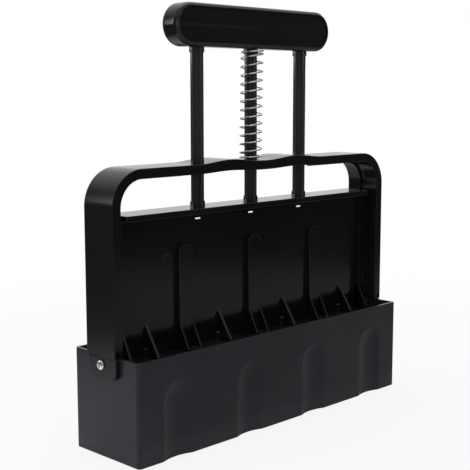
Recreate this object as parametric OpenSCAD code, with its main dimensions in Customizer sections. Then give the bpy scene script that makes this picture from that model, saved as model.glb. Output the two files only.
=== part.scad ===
// Four cell soil blocker: a mould box with a hoop handle, and a spring loaded
// plunger that pushes the pressed soil blocks out of the cells.
// Millimetres, +Z up, X along the row of cells, -Y is the front.
// The origin is the middle of the underside of the mould box.

/* [Mould box] */
// Side of one square soil cell
cell = 50; // [42:1:60]
// Height of a pressed soil block
block_h = 50; // [40:1:51]
// Thickness of the hollow divider between two cells
divider_t = 7.5; // [6:0.5:10]
// Thickness of the end walls beside the cells
end_t = 3.5; // [3.25:0.25:6]
// Thickness of the front and back walls beside the cells
side_t = 2.75; // [2.5:0.25:5]
// Height of the mould box
mould_h = 58.5; // [58:0.5:70]
// Radius of the upright corners of the mould box
corner_r = 2.2; // [1.4:0.2:4]
// Radius of the cells' corners
cell_r = 4; // [1.5:0.5:6]
// Thickness of the thin rim round the top of the mould box
rim_t = 1.9; // [1.4:0.1:2.4]
// Height of the thin rim round the top of the mould box
rim_h = 5; // [2:0.5:5]
// Skin thickness of the hollow dividers
divider_skin = 1.8; // [1.2:0.1:2.4]

/* [Flutes] */
// Width of a flute on the front and back walls
flute_w = 21.2; // [14:0.2:26]
// Depth of a flute at its middle
flute_depth = 2.2; // [1:0.1:2.4]
// Height of the round top of a flute above the ground
flute_top = 44; // [30:1:50]
// Wall left behind a flute
flute_skin = 1.2; // [1:0.1:1.4]

/* [Hoop handle] */
// Height of the hoop above the rim of the mould box
hoop_rise = 102; // [80:1:130]
// Width of the hoop band from front to back
hoop_w = 24.6; // [18:0.1:30]
// Thickness of the top bar of the hoop
bar_t = 5.6; // [4:0.2:7]
// Thickness of the legs of the hoop
leg_t = 6; // [4.5:0.25:7]
// Outer radius of the hoop's top corners
hoop_r = 21; // [14:1:30]
// Height of the finger waves on the top bar
wave_h = 1.8; // [0.5:0.1:3]
// Height of the waves on the underside of the bar
wave_under = 0.9; // [0.3:0.1:3]
// Distance of a wave's crest from the middle of the bar
wave_x = 29; // [27:1:33]
// Half the length of a wave
wave_half = 26; // [18:1:26]
// Width of the stiffening rib inside the hoop
hoop_rib_w = 2.2; // [1.2:0.2:3]
// Height of the stiffening rib inside the hoop
hoop_rib_h = 1.5; // [0.8:0.1:2.5]
// Distance of the stiffening rib behind the hoop's middle plane
hoop_rib_y = 0.6; // [0:0.2:6]

/* [Side tabs and screws] */
// Thickness of the tabs that lap the end walls
tab_t = 3.25; // [2.4:0.05:4]
// Length of a tab below the rim
tab_drop = 12.5; // [11:0.5:16]
// Radius of a tab's lower corners
tab_r = 4.5; // [2:0.5:6]
// Step from the face of the leg in to the face of the tab
tab_step = 0.6; // [0.2:0.1:1]
// Distance of a side screw below the rim
screw_drop = 4.8; // [4.6:0.1:7]
// Radius of a side screw's thread
screw_r = 1.5; // [1.25:0.05:2]
// Radius of a side screw's head
screw_head_r = 2.75; // [2.6:0.05:3.6]
// Height of a side screw's head
screw_head_h = 1.8; // [1.5:0.1:2.4]
// Width across the flats of a side nut
nut_af = 5.5; // [5:0.5:7]
// Thickness of a side nut
nut_t = 1.8; // [1.4:0.1:2.2]

/* [Plunger panel] */
// Thickness of the panel
web_t = 2.2; // [1.8:0.1:3]
// Gap between the end of the panel and the leg of the hoop
panel_end_gap = 6; // [5.5:0.5:9]
// Open height between the hoop's bar and the shelf of the panel
finger_gap = 19.9; // [16:0.1:30]
// Depth of the shelf from front to back
shelf_w = 19.4; // [14:0.2:22]
// Thickness of the shelf
shelf_t = 3.5; // [2.5:0.1:5]
// How far the round topped ribs stand out of the panel
rib_out = 3; // [2:0.1:4]
// Wall of the round topped ribs
rib_wall = 1.4; // [1.2:0.1:2]
// Thickness of the gussets and end flanges
gusset_t = 2; // [1.2:0.1:2.4]
// Height of the gussets above the press plates
gusset_rise = 18.5; // [12:0.5:30]
// How far the gussets reach out at the plates
gusset_out = 12.2; // [9:0.1:20]
// How far the fins under the ribs reach out at the plates
fin_out = 11.2; // [9:0.1:20]
// How far the end flanges reach out at the plates
end_out = 11; // [9:0.1:20]
// Distance of the fins' upper ends below those of the gussets
fin_drop = 3.5; // [0:0.5:6]
// Outer radius of the boss that takes a dimple pin
boss_r = 4; // [3.5:0.25:5]
// Height of the boss that takes a dimple pin
boss_h = 5; // [4:0.5:9]

/* [Press plates and dimple pins] */
// Thickness of a press plate
plate_t = 2.5; // [2:0.25:4]
// Radius of a dimple pin
dimple_r = 4.5; // [3:0.25:6]
// Length of a dimple pin below its plate
dimple_l = 7.5; // [6:0.5:9]
// Radius of a dimple pin's stem
stem_r = 2; // [1.5:0.25:2.5]

/* [Rods] */
// Distance between two rods
rod_pitch = 44.7; // [40:0.1:50]
// Width of a rod across its cross section
rod_w = 9; // [7.6:0.2:10]
// Thickness of a rod's fins
rod_t = 2; // [1.6:0.1:2.6]
// Length of a rod's tongue below the shelf's upper face
tongue_l = 6.4; // [4.8:0.1:8]
// How far the collars at a rod's ends stand out
collar_out = 0.4; // [0.2:0.1:0.6]
// Height of the collars at a rod's ends
collar_h = 3; // [1:0.5:6]
// How far the snap barbs stand out of a tongue
barb_out = 0.6; // [0.3:0.1:1]
// Height of a snap barb
barb_h = 1.2; // [0.8:0.1:1.6]
// Width of the small window under a tongue
window_w = 5.9; // [3:0.1:7.4]
// Height of the small window under a tongue
window_h = 0.9; // [0.6:0.1:3]

/* [T handle] */
// Length of the T handle
handle_l = 133; // [116:1:160]
// Height of the T handle
handle_h = 24.6; // [21:0.6:30]
// Depth of the T handle from front to back
handle_d = 14; // [13:0.5:18]
// Radius of the T handle's long edges
handle_r = 2.6; // [1:0.1:3.5]
// Open height between the hoop and the T handle
handle_gap = 66.4; // [66.2:0.1:90]
// Width of the raised rim round the cover
handle_rim = 2.4; // [2:0.1:3]
// Depth of the cover below the raised rim
cover_sink = 0.8; // [0.4:0.1:1.4]
// Thickness of the cover
cover_t = 2; // [1.4:0.1:2.6]
// Wall of the handle body
handle_wall = 3.4; // [3.1:0.1:4]
// Thickness of the handle body's back
handle_back = 2.5; // [2:0.1:3.5]

/* [Return spring] */
// Outer diameter of the spring
spring_od = 14.2; // [13:0.1:16]
// Diameter of the spring wire
wire_d = 1; // [0.7:0.05:1.3]
// Number of open turns
open_turns = 12; // [8:1:14]
// Number of closed turns at each end
closed_turns = 1; // [1:1:2]

/* [Clearances] */
// Gap round each press plate
plate_gap = 0.8; // [0.5:0.1:1.2]
// Gap between the rods and the cross holes in the hoop
slide_gap = 0.3; // [0.2:0.05:0.5]
// Gap between pieces that are seated on each other
seat_gap = 0.05; // [0.02:0.01:0.1]
// Gap under the plates and under the slits at the ends of the stroke
stop_gap = 0.5; // [0.4:0.1:1]
// Gap between the panel's ribs and the dividers that they straddle
straddle_gap = 0.4; // [0.3:0.05:0.6]
// Height left over the dividers inside the ribs at the end of the stroke
rib_spare = 0.2; // [0.1:0.1:2]
// Gap round a side nut in its pocket
nut_gap = 0.15; // [0.1:0.05:0.3]
// Gap between the spring and what it bears on
spring_gap = 0.3; // [0.2:0.05:0.5]

/* [Hidden] */

$fn = 48;
cut = 1;
cells = 4;

// mould box
pitch = cell + divider_t;
mould_l = cells * cell + (cells - 1) * divider_t + 2 * end_t;
mould_w = cell + 2 * side_t;
cell_x = [for (i = [0:cells - 1]) (i - (cells - 1) / 2) * pitch];
gap_x = [for (i = [1:cells - 1]) (i - cells / 2) * pitch];
flute_r = (pow(flute_w / 2, 2) + pow(flute_depth, 2)) / (2 * flute_depth);

// hoop
leg_out = mould_l / 2 + tab_t;
leg_in = leg_out - leg_t;
tab_out = leg_out - tab_step;
hoop_top = mould_h + hoop_rise;
bar_under = hoop_top - bar_t;
screw_z = mould_h - screw_drop;
screw_hole_r = screw_r + 0.15;
nut_r = nut_af / 2 / cos(30);
nut_wall = end_t - nut_t - nut_gap;

// plunger
plate_z = block_h + stop_gap;
plate_top = plate_z + plate_t;
plate_w = cell - 2 * plate_gap;
stroke = plate_z;
slot_half = divider_t / 2 + straddle_gap;
panel_half = leg_in - panel_end_gap;
shelf_top = bar_under - finger_gap;
shelf_z = shelf_top - shelf_t;
rib_top = mould_h + stroke + rib_spare + slot_half + rib_wall;
rib_front = web_t / 2 + rib_out;
gusset_top = plate_top + gusset_rise;
gusset_toe = 1;
stem_l = boss_h - 1.5;

// slit in a divider, in which a rib's front wall travels
slit_front = rib_front + straddle_gap;
slit_back = rib_front - rib_wall - straddle_gap;
slit_z = plate_top - stroke - stop_gap;

// rods and handle
// the rods stand at the middle and towards both ends of the T handle
rod_x = [-rod_pitch, 0, rod_pitch];
tongue_z = shelf_top - tongue_l;
barb_z = tongue_z + 0.2;
handle_z = hoop_top + handle_gap;
handle_mid = handle_z + handle_h / 2;
lug_top = handle_mid + 5;
cavity_front = -handle_d / 2 + cover_sink + cover_t;
cavity_back = handle_d / 2 - handle_back;
lug_screw_r = 1.4;
lug_screw_head_r = 2.7;
lug_screw_head_h = 1.8;

// spring
spring_r = (spring_od - wire_d) / 2;
spring_z = hoop_top + spring_gap + wire_d / 2;
spring_run = handle_gap - 2 * spring_gap - wire_d;
closed_pitch = wire_d + 0.5;
open_pitch = (spring_run - 2 * closed_turns * closed_pitch) / open_turns;
rings = 8;
sides = 6;

plastic = [0.07, 0.07, 0.08];
plastic_gloss = [0.05, 0.05, 0.055];
steel = [0.75, 0.76, 0.78];

// ---- shared shapes -------------------------------------------------------

// upright box with rounded corners, standing on z = 0
module rounded_box(l, w, h, r) {
  linear_extrude(h) {
    square([l, w - 2 * r], center = true);
    square([l - 2 * r, w], center = true);
    for (sx = [-1, 1], sy = [-1, 1])
      translate([sx * (l / 2 - r), sy * (w / 2 - r)]) circle(r);
  }
}

// box given by its two corners
module block(a, b) {
  translate(a) cube(b - a);
}

// turns an outline drawn in x and z into a solid from y0 to y1
module across(y0, y1) {
  translate([0, y1, 0]) rotate([90, 0, 0]) linear_extrude(y1 - y0) children();
}

// turns an outline drawn in y and z into a solid from x0 to x1
module along(x0, x1) {
  translate([x0, 0, 0]) rotate([90, 0, 90]) linear_extrude(x1 - x0) children();
}

// puts a piece of the right end at the left end when s is -1
module at_end(s) {
  if (s < 0) mirror([1, 0, 0]) children();
  else children();
}

// outline with straight sides, an open foot and a round top
module round_top(half_w, z0, z1) {
  translate([-half_w, z0]) square([2 * half_w, z1 - half_w - z0]);
  translate([0, z1 - half_w]) circle(half_w);
}

// outline with two round ends, centred on the origin
module stadium(l, h) {
  square([l - h, h], center = true);
  for (s = [-1, 1]) translate([s * (l - h) / 2, 0]) circle(h / 2);
}

// cross shaped outline of a rod, grown by a clearance
module rod_outline(gap) {
  square([rod_w + 2 * gap, rod_t + 2 * gap], center = true);
  square([rod_t + 2 * gap, rod_w + 2 * gap], center = true);
}

// ---- mould box -----------------------------------------------------------

// round topped hollow seen from outside, or the bulge behind it
module flute(x, side, grow) {
  y = side * (mould_w / 2 + flute_r - flute_depth);
  top = flute_top - flute_w / 2;
  translate([x, y, -cut]) cylinder(r = flute_r + grow, h = top + cut);
  translate([x, y, top]) sphere(flute_r + grow);
}

module flutes(grow) {
  for (x = cell_x, side = [-1, 1]) flute(x, side, grow);
}

// room inside the thin rim, round the dividers and the seats of the side nuts
module rim_room() {
  difference() {
    translate([0, 0, mould_h - rim_h])
      rounded_box(mould_l - 2 * rim_t, mould_w - 2 * rim_t, rim_h + cut, corner_r / 2);
    for (x = gap_x) block([x - divider_t / 2, -mould_w, 0], [x + divider_t / 2, mould_w, 2 * mould_h]);
    for (s = [-1, 1]) at_end(s)
      block([mould_l / 2 - end_t, -nut_r - 2, 0], [mould_l, nut_r + 2, 2 * mould_h]);
  }
}

module mould_box() {
  color(plastic) difference() {
    rounded_box(mould_l, mould_w, mould_h, corner_r);
    rim_room();
    difference() {
      for (x = cell_x) translate([x, 0, -cut]) rounded_box(cell, cell, mould_h + 2 * cut, cell_r);
      flutes(flute_skin);
    }
    flutes(0);
    for (x = gap_x) {
      block([x - divider_t / 2 + divider_skin, -cell / 2, divider_skin],
            [x + divider_t / 2 - divider_skin, cell / 2, mould_h + cut]);
      block([x - divider_t, -slit_front, slit_z], [x + divider_t, -slit_back, mould_h + cut]);
    }
    for (s = [-1, 1]) at_end(s) translate([mould_l / 2 + cut, 0, screw_z]) rotate([0, -90, 0]) {
      cylinder(r = screw_hole_r, h = end_t + 2 * cut);
      translate([0, 0, cut + nut_wall]) cylinder(r = nut_r + nut_gap, h = end_t, $fn = 6);
    }
  }
}

// ---- hoop handle ---------------------------------------------------------

// height of the finger waves at x, of 1
function wave(x) =
  let (u = (abs(x) - wave_x) / wave_half)
  abs(u) < 1 ? (1 + cos(180 * u)) / 2 : 0;

wave_end = wave_x + wave_half;
wave_step = 1.5;

// the waves as an outline that stands on the line z and is h high
module waves(z, h) {
  xs = [for (x = [-wave_end:wave_step:wave_end + 0.01]) x];
  polygon(concat(
    [for (x = xs) [x, z + h * wave(x)]],
    [[wave_end, z - bar_t / 4], [-wave_end, z - bar_t / 4]]
  ));
}

// outline of a doorway with round upper corners
module doorway(half_w, z0, z1, r) {
  translate([-half_w, z0]) square([2 * half_w, z1 - r - z0]);
  translate([-half_w + r, z0]) square([2 * (half_w - r), z1 - z0]);
  for (s = [-1, 1]) translate([s * (half_w - r), z1 - r]) circle(r);
}

module hoop_outline() {
  difference() {
    union() {
      doorway(leg_out, mould_h + seat_gap, hoop_top, hoop_r);
      waves(hoop_top, wave_h);
    }
    doorway(leg_in, mould_h - cut, bar_under, hoop_r - bar_t);
    waves(bar_under, wave_under);
  }
}

// thin rib that follows the inside of the hoop, left out at the waves
module hoop_rib() {
  rib_in = leg_in - hoop_rib_h;
  rib_z = bar_under - hoop_rib_h;
  r = hoop_r - bar_t - hoop_rib_h;
  y = hoop_rib_y;
  across(y, y + hoop_rib_w) difference() {
    doorway(leg_in + cut, mould_h + seat_gap, bar_under + cut, hoop_r - bar_t);
    doorway(rib_in, mould_h - cut, rib_z, r);
    translate([-wave_end - cut, rib_z - cut]) square([2 * (wave_end + cut), bar_t]);
  }
}

// tab that laps the end wall, with rounded lower corners
module tab() {
  z0 = mould_h - tab_drop;
  z1 = mould_h + tab_t;
  along(mould_l / 2 + seat_gap, tab_out) difference() {
    union() {
      translate([-hoop_w / 2, z0 + tab_r]) square([hoop_w, z1 - z0 - tab_r]);
      translate([-hoop_w / 2 + tab_r, z0]) square([hoop_w - 2 * tab_r, z1 - z0]);
      for (s = [-1, 1]) translate([s * (hoop_w / 2 - tab_r), z0 + tab_r]) circle(tab_r);
    }
    translate([0, screw_z]) circle(screw_hole_r);
  }
}

module arch_frame() {
  color(plastic_gloss) difference() {
    union() {
      across(-hoop_w / 2, hoop_w / 2) hoop_outline();
      hoop_rib();
      for (s = [-1, 1]) at_end(s) tab();
    }
    for (x = rod_x) translate([x, 0, bar_under - bar_t]) linear_extrude(3 * bar_t) rod_outline(slide_gap);
  }
}

// ---- plunger panel -------------------------------------------------------

// sloping brace that ends at the distance toe in front of and behind the panel
module gusset(x0, x1, face, top, toe) {
  along(x0, x1) polygon([
    [-toe, plate_top], [-toe, plate_top + gusset_toe],
    [-face, top], [face, top],
    [toe, plate_top + gusset_toe], [toe, plate_top]
  ]);
}

module panel_solid() {
  block([-panel_half, -web_t / 2, plate_top], [panel_half, web_t / 2, shelf_top]);
  block([-panel_half, -shelf_w / 2, shelf_z], [panel_half, shelf_w / 2, shelf_top]);
  for (x = gap_x) translate([x, 0, 0])
    across(-rib_front, web_t / 2) round_top(slot_half + rib_wall, plate_top, rib_top);
  for (s = [-1, 1]) at_end(s) {
    block([panel_half - gusset_t, -rib_front, plate_top], [panel_half, rib_front, shelf_z]);
    gusset(panel_half - gusset_t, panel_half, rib_front, gusset_top - fin_drop, end_out);
  }
  for (x = gap_x, s = [0, 1]) translate([x, 0, 0]) mirror([s, 0, 0])
    gusset(slot_half, slot_half + rib_wall, rib_front, gusset_top - fin_drop, fin_out);
  for (x = cell_x) {
    gusset(x - gusset_t / 2, x + gusset_t / 2, web_t / 2, gusset_top, gusset_out);
    translate([x, 0, plate_top]) cylinder(r = boss_r, h = boss_h);
  }
}

module plunger_panel() {
  color(plastic_gloss) difference() {
    panel_solid();
    for (x = gap_x) translate([x, 0, 0])
      across(-rib_front + rib_wall, rib_front) round_top(slot_half, plate_top - cut, rib_top - rib_wall);
    for (x = cell_x) translate([x, 0, plate_top - cut])
      cylinder(r = stem_r + seat_gap, h = stem_l + cut + seat_gap);
    for (x = rod_x) translate([x, 0, 0]) {
      w = rod_w / 2 + seat_gap;
      t = rod_t / 2 + seat_gap;
      block([-w, -t, tongue_z - seat_gap], [w, t, shelf_top + cut]);
      block([-w, -web_t, tongue_z - seat_gap], [w, web_t, shelf_z]);
      block([-w - barb_out, -web_t, barb_z - seat_gap],
            [w + barb_out, web_t, barb_z + barb_h + seat_gap]);
      block([-window_w / 2, -web_t, tongue_z - seat_gap - window_h],
            [window_w / 2, web_t, tongue_z]);
    }
  }
}

// ---- press plates and dimple pins ----------------------------------------

module press_plate(x) {
  color(plastic) difference() {
    translate([x, 0, plate_z]) rounded_box(plate_w, plate_w, plate_t, cell_r - plate_gap);
    translate([x, 0, plate_z - cut]) cylinder(r = stem_r + seat_gap, h = plate_t + 2 * cut);
  }
}

module dimple_pin(x) {
  color(plastic) translate([x, 0, plate_z]) {
    intersection() {
      translate([0, 0, -dimple_l + dimple_r]) {
        cylinder(r = dimple_r, h = dimple_l - dimple_r);
        sphere(dimple_r);
      }
      translate([0, 0, -dimple_l]) cylinder(r = 2 * dimple_r, h = dimple_l);
    }
    cylinder(r = stem_r, h = plate_t + stem_l);
  }
}

// ---- rods ----------------------------------------------------------------

module rod(x) {
  color(plastic_gloss) translate([x, 0, 0]) difference() {
    union() {
      translate([0, 0, shelf_top]) linear_extrude(handle_z + handle_rim - shelf_top) rod_outline(0);
      for (z = [shelf_top + seat_gap, handle_z - seat_gap - collar_h])
        translate([0, 0, z]) linear_extrude(collar_h) rod_outline(collar_out);
      block([-rod_w / 2, -rod_t / 2, tongue_z], [rod_w / 2, rod_t / 2, lug_top]);
      block([-rod_w / 2 - barb_out, -rod_t / 2, barb_z], [rod_w / 2 + barb_out, rod_t / 2, barb_z + barb_h]);
    }
    translate([0, 0, handle_mid]) rotate([90, 0, 0])
      cylinder(r = lug_screw_r + seat_gap, h = rod_w, center = true);
  }
}

// ---- T handle ------------------------------------------------------------

// cross section of the handle with rounded edges: depth, and height
module handle_section() {
  h = handle_h / 2;
  d = handle_d / 2;
  r = handle_r;
  square([2 * d, 2 * (h - r)], center = true);
  square([2 * (d - r), 2 * h], center = true);
  for (sy = [-1, 1], sz = [-1, 1]) translate([sy * (d - r), sz * (h - r)]) circle(r);
}

module handle_outer() {
  run = (handle_l - handle_h) / 2;
  for (s = [-1, 1]) translate([s * run, 0, handle_mid]) rotate([90, 0, 0])
    rotate_extrude($fn = 96) intersection() {
      rotate(90) handle_section();
      translate([0, -handle_d]) square([handle_h, 2 * handle_d]);
    }
  translate([0, 0, handle_mid]) along(-run, run) handle_section();
}

module handle_body() {
  color(plastic_gloss) difference() {
    handle_outer();
    difference() {
      translate([0, 0, handle_mid]) across(cavity_front - seat_gap, cavity_back)
        stadium(handle_l - 2 * handle_wall, handle_h - 2 * handle_wall);
      for (x = rod_x) translate([x, rod_t / 2, handle_mid]) rotate([-90, 0, 0])
        cylinder(r = boss_r, h = handle_d);
    }
    translate([0, 0, handle_mid]) across(-handle_d, cavity_front)
      stadium(handle_l - 2 * handle_rim, handle_h - 2 * handle_rim);
    for (x = rod_x) {
      translate([x, 0, handle_z - cut]) linear_extrude(handle_wall + 2 * cut) rod_outline(seat_gap);
      translate([x, 0, handle_mid]) rotate([-90, 0, 0])
        cylinder(r = lug_screw_r + seat_gap, h = cavity_back + 1);
    }
  }
}

module handle_cover() {
  fit = handle_rim + seat_gap;
  color(plastic_gloss) translate([0, 0, handle_mid])
    across(cavity_front - cover_t, cavity_front - seat_gap)
      stadium(handle_l - 2 * fit, handle_h - 2 * fit);
}

// three screws that hold the rods' lugs on the bosses inside the handle
module handle_screws() {
  color(steel) for (x = rod_x) translate([x, -rod_t / 2, handle_mid]) rotate([-90, 0, 0]) {
    difference() {
      translate([0, 0, -lug_screw_head_h]) cylinder(r = lug_screw_head_r, h = lug_screw_head_h);
      for (a = [0, 90]) rotate(a) translate([-1.5, -0.3, -lug_screw_head_h - cut])
        cube([3, 0.6, cut + 0.8]);
    }
    cylinder(r = lug_screw_r, h = rod_t / 2 + cavity_back);
  }
}

// ---- return spring -------------------------------------------------------

turns = open_turns + 2 * closed_turns;
spring_steps = turns * rings;

// height of the wire's middle after t turns
function spring_rise(t) =
  closed_pitch * min(t, closed_turns)
  + open_pitch * max(0, min(t - closed_turns, open_turns))
  + closed_pitch * max(0, t - closed_turns - open_turns);

function spring_point(t) =
  [spring_r * cos(360 * t), spring_r * sin(360 * t), spring_z + spring_rise(t)];

// the wire's line, with a short straight piece at each end
function straight_end(t, way) =
  spring_point(t) + way * wire_d * [-sin(360 * t), cos(360 * t), 0];
spring_line = concat(
  [straight_end(0, -1)],
  [for (i = [0:spring_steps]) spring_point(i / rings)],
  [straight_end(turns, 1)]
);

// six points round each point of the line, across the radius and upright
function spring_ring(p, t) =
  [for (k = [0:sides - 1]) let (a = 360 * k / sides)
    p + wire_d / 2 * (cos(a) * [cos(360 * t), sin(360 * t), 0] + sin(a) * [0, 0, 1])];

spring_turn = concat([0], [for (i = [0:spring_steps]) i / rings], [turns]);
ring_count = len(spring_line);

module return_spring() {
  points = [for (i = [0:ring_count - 1]) each spring_ring(spring_line[i], spring_turn[i])];
  last = (ring_count - 1) * sides;
  walls = [for (i = [0:ring_count - 2], k = [0:sides - 1])
    let (a = i * sides + k, b = i * sides + (k + 1) % sides)
    each [[a, b, b + sides], [a, b + sides, a + sides]]];
  caps = [for (k = [1:sides - 2]) each [[0, k + 1, k], [last, last + k, last + k + 1]]];
  color(steel) polyhedron(points = points, faces = concat(walls, caps));
}

least_gap = min([for (i = [0:spring_steps], j = [i + rings - 2:1:spring_steps])
  norm(spring_point(i / rings) - spring_point(j / rings))]) - wire_d;
echo(spring_least_gap_mm = least_gap, spring_open_pitch_mm = open_pitch);

// ---- side screws and nuts ------------------------------------------------

screw_l = tab_out - mould_l / 2 + end_t - nut_gap;

module side_screw(s) {
  color(steel) at_end(s) translate([tab_out, 0, screw_z]) rotate([0, 90, 0]) {
    difference() {
      intersection() {
        cylinder(r = screw_head_r, h = screw_head_h);
        translate([0, 0, screw_head_h - 4.5]) sphere(4.5, $fn = 64);
      }
      for (a = [0, 90]) rotate(a) translate([-1.6, -0.4, screw_head_h - 1.1])
        cube([3.2, 0.8, 2]);
    }
    translate([0, 0, -screw_l]) cylinder(r = screw_r, h = screw_l + screw_head_h / 4);
  }
}

module side_nut(s) {
  color(steel) at_end(s) translate([mould_l / 2 - nut_wall - nut_t - seat_gap, 0, screw_z])
    rotate([0, 90, 0]) difference() {
      cylinder(r = nut_r, h = nut_t, $fn = 6);
      translate([0, 0, -cut]) cylinder(r = screw_r + seat_gap, h = nut_t + 2 * cut);
    }
}

// ---- the parts -----------------------------------------------------------

mould_box();
arch_frame();
plunger_panel();
press_plate(cell_x[0]);  // press_plate_1
press_plate(cell_x[1]);  // press_plate_2
press_plate(cell_x[2]);  // press_plate_3
press_plate(cell_x[3]);  // press_plate_4
dimple_pin(cell_x[0]);  // dimple_pin_1
dimple_pin(cell_x[1]);  // dimple_pin_2
dimple_pin(cell_x[2]);  // dimple_pin_3
dimple_pin(cell_x[3]);  // dimple_pin_4
rod(rod_x[0]);  // rod_left
rod(rod_x[1]);  // rod_centre
rod(rod_x[2]);  // rod_right
handle_body();
handle_cover();
handle_screws();
return_spring();
side_screw(-1);  // side_screw_left
side_screw(1);  // side_screw_right
side_nut(-1);  // side_nut_left
side_nut(1);  // side_nut_right
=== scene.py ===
import bmesh
import bpy
import math
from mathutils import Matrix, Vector
from mathutils.geometry import tessellate_polygon


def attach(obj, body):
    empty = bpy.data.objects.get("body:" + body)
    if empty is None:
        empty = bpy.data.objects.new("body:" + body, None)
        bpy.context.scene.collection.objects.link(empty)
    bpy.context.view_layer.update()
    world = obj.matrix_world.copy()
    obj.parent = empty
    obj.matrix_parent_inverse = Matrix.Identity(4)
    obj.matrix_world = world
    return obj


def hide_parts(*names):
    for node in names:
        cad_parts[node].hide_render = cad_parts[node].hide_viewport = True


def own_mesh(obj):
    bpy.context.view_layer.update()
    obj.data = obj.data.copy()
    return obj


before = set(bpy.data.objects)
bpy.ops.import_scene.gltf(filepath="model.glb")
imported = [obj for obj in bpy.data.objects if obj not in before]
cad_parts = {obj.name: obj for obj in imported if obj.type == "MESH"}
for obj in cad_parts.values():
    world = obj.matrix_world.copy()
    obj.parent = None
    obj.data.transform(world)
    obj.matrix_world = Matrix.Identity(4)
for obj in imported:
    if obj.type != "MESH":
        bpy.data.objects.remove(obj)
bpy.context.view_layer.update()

mm = 0.001
print("frame loaded:", len(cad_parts), "nodes")


# finishes

# an output socket that takes part in plain Python sums
class Flow:
    def __init__(self, finish, socket):
        self.finish = finish
        self.socket = socket

    def combine(self, other, operation, swapped=False):
        pair = (other, self) if swapped else (self, other)
        kinds = [part.socket.type for part in pair if isinstance(part, Flow)]
        if "RGBA" in kinds:
            return self.finish.blend(pair[0], pair[1], 1.0, operation)
        kind = "ShaderNodeVectorMath" if "VECTOR" in kinds else "ShaderNodeMath"
        return self.finish.node(kind, {"operation": operation}, {0: pair[0], 1: pair[1]})

    def __add__(self, other):
        return self.combine(other, "ADD")

    def __radd__(self, other):
        return self.combine(other, "ADD", True)

    def __sub__(self, other):
        return self.combine(other, "SUBTRACT")

    def __rsub__(self, other):
        return self.combine(other, "SUBTRACT", True)

    def __mul__(self, other):
        return self.combine(other, "MULTIPLY")

    def __rmul__(self, other):
        return self.combine(other, "MULTIPLY", True)


class Finish:
    def __init__(self, name, owner=None):
        self.material = owner or bpy.data.materials.new(name)
        self.material.use_nodes = True
        self.tree = self.material.node_tree
        self.tree.nodes.clear()

    # any node: its type, its settings, then the values or links of its sockets
    def node(self, kind, settings, sockets, output=0):
        made = self.tree.nodes.new(kind)
        for key, value in settings.items():
            setattr(made, key, value)
        for key, value in sockets.items():
            self.feed(made.inputs[key], value)
        return Flow(self, made.outputs[output]) if len(made.outputs) else made

    def feed(self, socket, value):
        if isinstance(value, Flow):
            self.tree.links.new(value.socket, socket)
        elif socket.type == "VECTOR" and isinstance(value, (int, float)):
            socket.default_value = (value, value, value)
        elif socket.type == "RGBA":
            value = (value, value, value) if isinstance(value, (int, float)) else value
            socket.default_value = (*value[:3], 1)
        else:
            socket.default_value = value

    # colours are mixed, never sent through a Math node
    def blend(self, first, second, share, how="MIX"):
        return self.node("ShaderNodeMix", {"data_type": "RGBA", "blend_type": how},
                         {0: share, 6: first, 7: second}, 2)

    # place on the piece in millimetres
    def place(self, stretch=(1, 1, 1)):
        spot = self.node("ShaderNodeTexCoord", {}, {}, "Object")
        return spot * tuple(1000 * s for s in stretch)

    def noise(self, size, detail=3, stretch=(1, 1, 1), rough=0.55):
        return self.node("ShaderNodeTexNoise", {}, {"Vector": self.place(stretch), "Scale": 1 / size,
                                                    "Detail": detail, "Roughness": rough}, 0)

    # turns a value between low and high into 0 to 1
    def between(self, value, low, high):
        return self.node("ShaderNodeMapRange", {"interpolation_type": "SMOOTHSTEP"},
                         {"Value": value, "From Min": low, "From Max": high})

    def bump(self, height, depth, strength=1.0, under=None):
        sockets = {"Height": height, "Distance": depth * mm, "Strength": strength}
        if under:
            sockets["Normal"] = under
        return self.node("ShaderNodeBump", {}, sockets)

    def shader(self, sockets):
        surface = self.node("ShaderNodeBsdfPrincipled", {}, sockets)
        self.node("ShaderNodeOutputMaterial", {}, {"Surface": surface})
        return self.material


# black moulded plastic: fine grain, faint flow marks, a little dust, and a painted highlight along the sharp
# edges, which are also a little glossier
def blackPlastic(name, look):
    finish = Finish(name)
    grain = finish.noise(look["grainSize"], 4)
    flow = finish.noise(look["flowSize"], 3, look.get("flowStretch", (1, 1, 1)))
    cloud = finish.noise(look["flowSize"] * 2.3, 2)
    edge = finish.node("ShaderNodeNewGeometry", {}, {}, "Pointiness")
    # painted highlight: the edge colour is laid on sharp edges found by pointiness
    paintedEdgeMask = finish.between(edge, 0.51, 0.6) * look["paintedEdgeLight"]
    tone = finish.between(cloud, 0.35, 0.65)
    colour = finish.blend(look["dark"], look["light"], tone)
    colour = finish.blend(colour, look["edge"], paintedEdgeMask)
    roughness = look["roughness"] + (flow - 0.5) * look["roughSpread"] + (grain - 0.5) * 0.04 - paintedEdgeMask * 0.05
    normal = finish.bump(grain, look["grainDepth"], 0.5)
    normal = finish.bump(flow, look["flowDepth"], 0.5, normal)
    return finish.shader({"Base Color": colour, "Roughness": roughness, "Normal": normal,
                          "IOR": look.get("ior", 1.5), "Specular IOR Level": look.get("specular", 0.5),
                          "Specular Tint": (0.9, 0.91, 1.0)})


# bright plated steel with fine drawing lines
def plated(name, look):
    finish = Finish(name)
    lines = finish.noise(look["lineSize"], 3, look["stretch"])
    spots = finish.noise(look["spotSize"], 2)
    colour = finish.blend(look["dark"], look["light"], finish.between(spots, 0.3, 0.7))
    roughness = look["roughness"] + (lines - 0.5) * look["roughSpread"]
    normal = finish.bump(lines, look["lineDepth"], 0.4)
    return finish.shader({"Base Color": colour, "Metallic": 1.0, "Roughness": roughness, "Normal": normal})


# the edge colour of each plastic is a painted highlight for its sharp edges
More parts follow.
